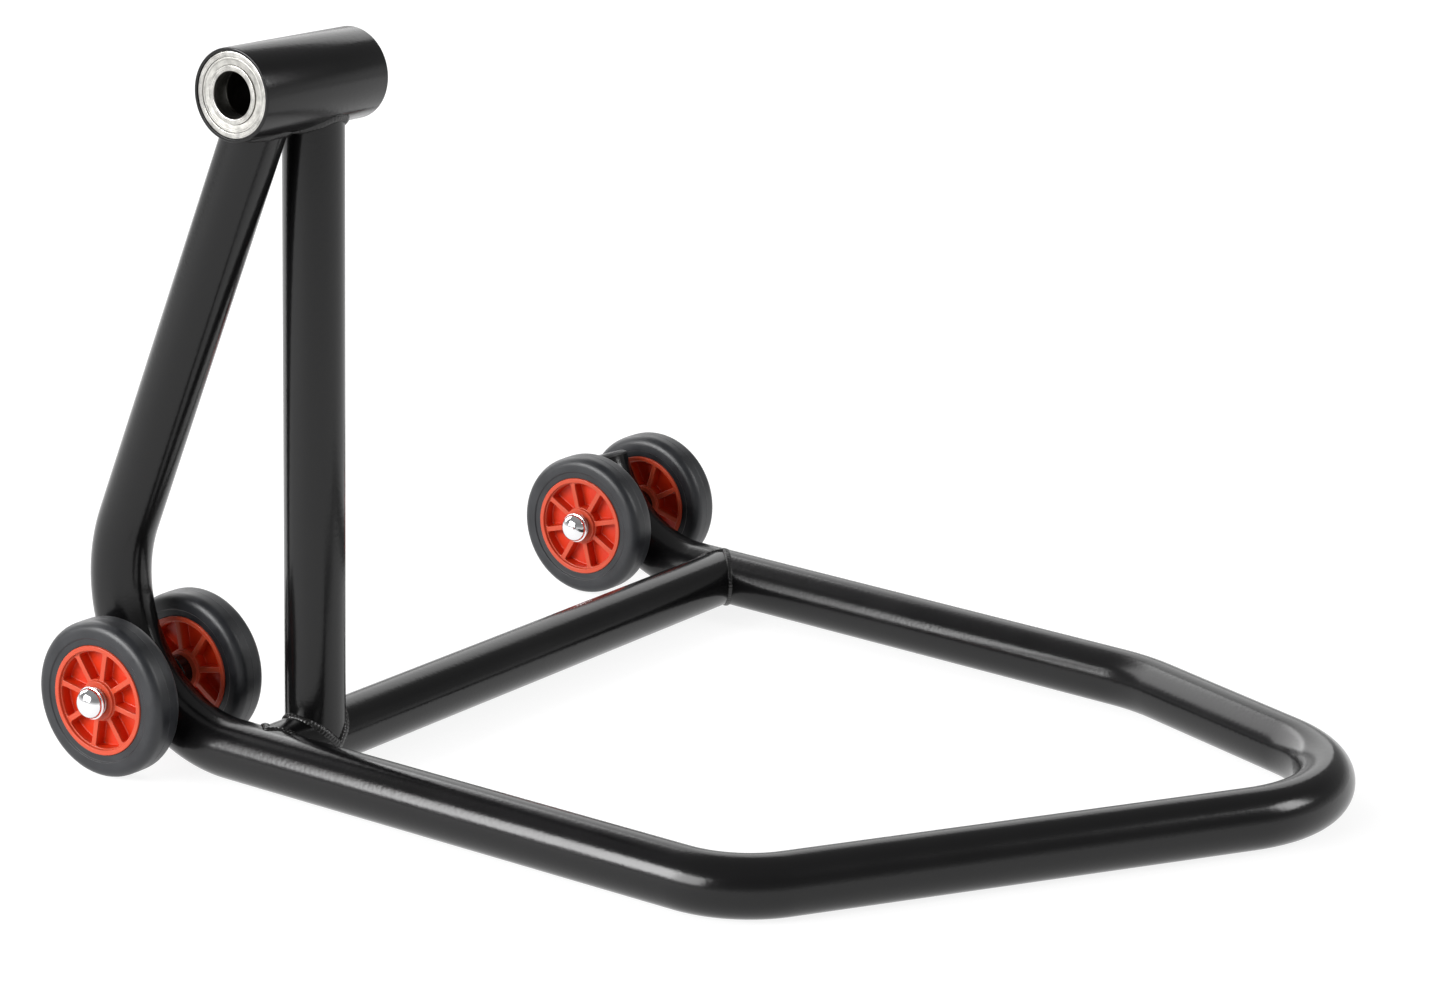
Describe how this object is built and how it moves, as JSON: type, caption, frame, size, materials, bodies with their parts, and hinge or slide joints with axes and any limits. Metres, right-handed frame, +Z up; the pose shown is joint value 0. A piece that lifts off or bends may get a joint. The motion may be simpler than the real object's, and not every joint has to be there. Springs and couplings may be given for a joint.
{
  "type": "paddock stand",
  "caption": "Rolling paddock stand for a single-sided swingarm: bent round-tube base with an upright bearing head and paired small wheels on two axles.",
  "frame": {"origin": "on the floor, under the middle of the stand's bounding box, midway between the two wheel pairs", "axes": "+X from the wheels to the push bar, +Y from the bearing head's side to the far wheel pair, +Z up"},
  "size_m": [0.7143, 0.6362, 0.4646],
  "materials": {
    "black_powder_coat": "satin powder coat",
    "black_plastic": "moulded",
    "tyre_rubber": "moulded",
    "red_plastic": "moulded",
    "white_nylon": "turned",
    "bearing_steel": "ground",
    "zinc_plate": "zinc plated",
    "chrome_cap": "polished"
  },
  "bodies": {
    "frame": {"main_tube": "black_powder_coat", "cross_tube": "black_powder_coat", "upright_post": "black_powder_coat", "head_housing": "black_powder_coat", "stub_end_plug": "black_plastic", "near_axle_sleeve": "black_powder_coat", "far_axle_sleeve": "black_powder_coat", "near_axle": "zinc_plate", "far_axle": "zinc_plate", "front_bearing_outer_race": "bearing_steel", "front_bearing_front_shield": "zinc_plate", "front_bearing_back_shield": "zinc_plate", "back_bearing_outer_race": "bearing_steel", "back_bearing_front_shield": "zinc_plate", "back_bearing_back_shield": "zinc_plate", "wheel_near_outer_cap": "chrome_cap", "wheel_near_outer_cap_washer": "zinc_plate", "wheel_near_outer_tube_washer": "zinc_plate", "wheel_near_inner_cap": "chrome_cap", "wheel_near_inner_cap_washer": "zinc_plate", "wheel_near_inner_tube_washer": "zinc_plate", "wheel_far_inner_cap": "chrome_cap", "wheel_far_inner_cap_washer": "zinc_plate", "wheel_far_inner_tube_washer": "zinc_plate", "wheel_far_outer_cap": "chrome_cap", "wheel_far_outer_cap_washer": "zinc_plate", "wheel_far_outer_tube_washer": "zinc_plate"},
    "pin_rotor": {"front_bearing_inner_race": "bearing_steel", "back_bearing_inner_race": "bearing_steel", "race_spacer": "zinc_plate"},
    "ball_cages": {"front_bearing_ball_set": "bearing_steel", "back_bearing_ball_set": "bearing_steel"},
    "wheel_near_outer": {"wheel_near_outer_tyre": "tyre_rubber", "wheel_near_outer_hub": "red_plastic", "wheel_near_outer_bush": "white_nylon"},
    "wheel_near_inner": {"wheel_near_inner_tyre": "tyre_rubber", "wheel_near_inner_hub": "red_plastic", "wheel_near_inner_bush": "white_nylon"},
    "wheel_far_inner": {"wheel_far_inner_tyre": "tyre_rubber", "wheel_far_inner_hub": "red_plastic", "wheel_far_inner_bush": "white_nylon"},
    "wheel_far_outer": {"wheel_far_outer_tyre": "tyre_rubber", "wheel_far_outer_hub": "red_plastic", "wheel_far_outer_bush": "white_nylon"}
  },
  "joints": [
    {"name": "wheel_near_outer_roll", "type": "hinge", "parent": "frame", "child": "wheel_near_outer", "pos_m": [-0.307, -0.294, 0.05], "axis": [0, 1, 0], "continuous": true},
    {"name": "wheel_near_inner_roll", "type": "hinge", "parent": "frame", "child": "wheel_near_inner", "pos_m": [-0.307, -0.215, 0.05], "axis": [0, 1, 0], "continuous": true},
    {"name": "wheel_far_inner_roll", "type": "hinge", "parent": "frame", "child": "wheel_far_inner", "pos_m": [-0.307, 0.215, 0.05], "axis": [0, 1, 0], "continuous": true},
    {"name": "wheel_far_outer_roll", "type": "hinge", "parent": "frame", "child": "wheel_far_outer", "pos_m": [-0.307, 0.294, 0.05], "axis": [0, 1, 0], "continuous": true},
    {"name": "lifting_pin_turn", "type": "hinge", "parent": "frame", "child": "pin_rotor", "pos_m": [-0.209, -0.2325, 0.4365], "axis": [0, 1, 0], "continuous": true},
    {"name": "ball_cage_turn", "type": "hinge", "parent": "frame", "child": "ball_cages", "pos_m": [-0.209, -0.2325, 0.4365], "axis": [0, 1, 0], "continuous": true}
  ],
  "couplings": [
    {"joint": "ball_cage_turn", "follows": "lifting_pin_turn", "ratio": 0.415}
  ]
}
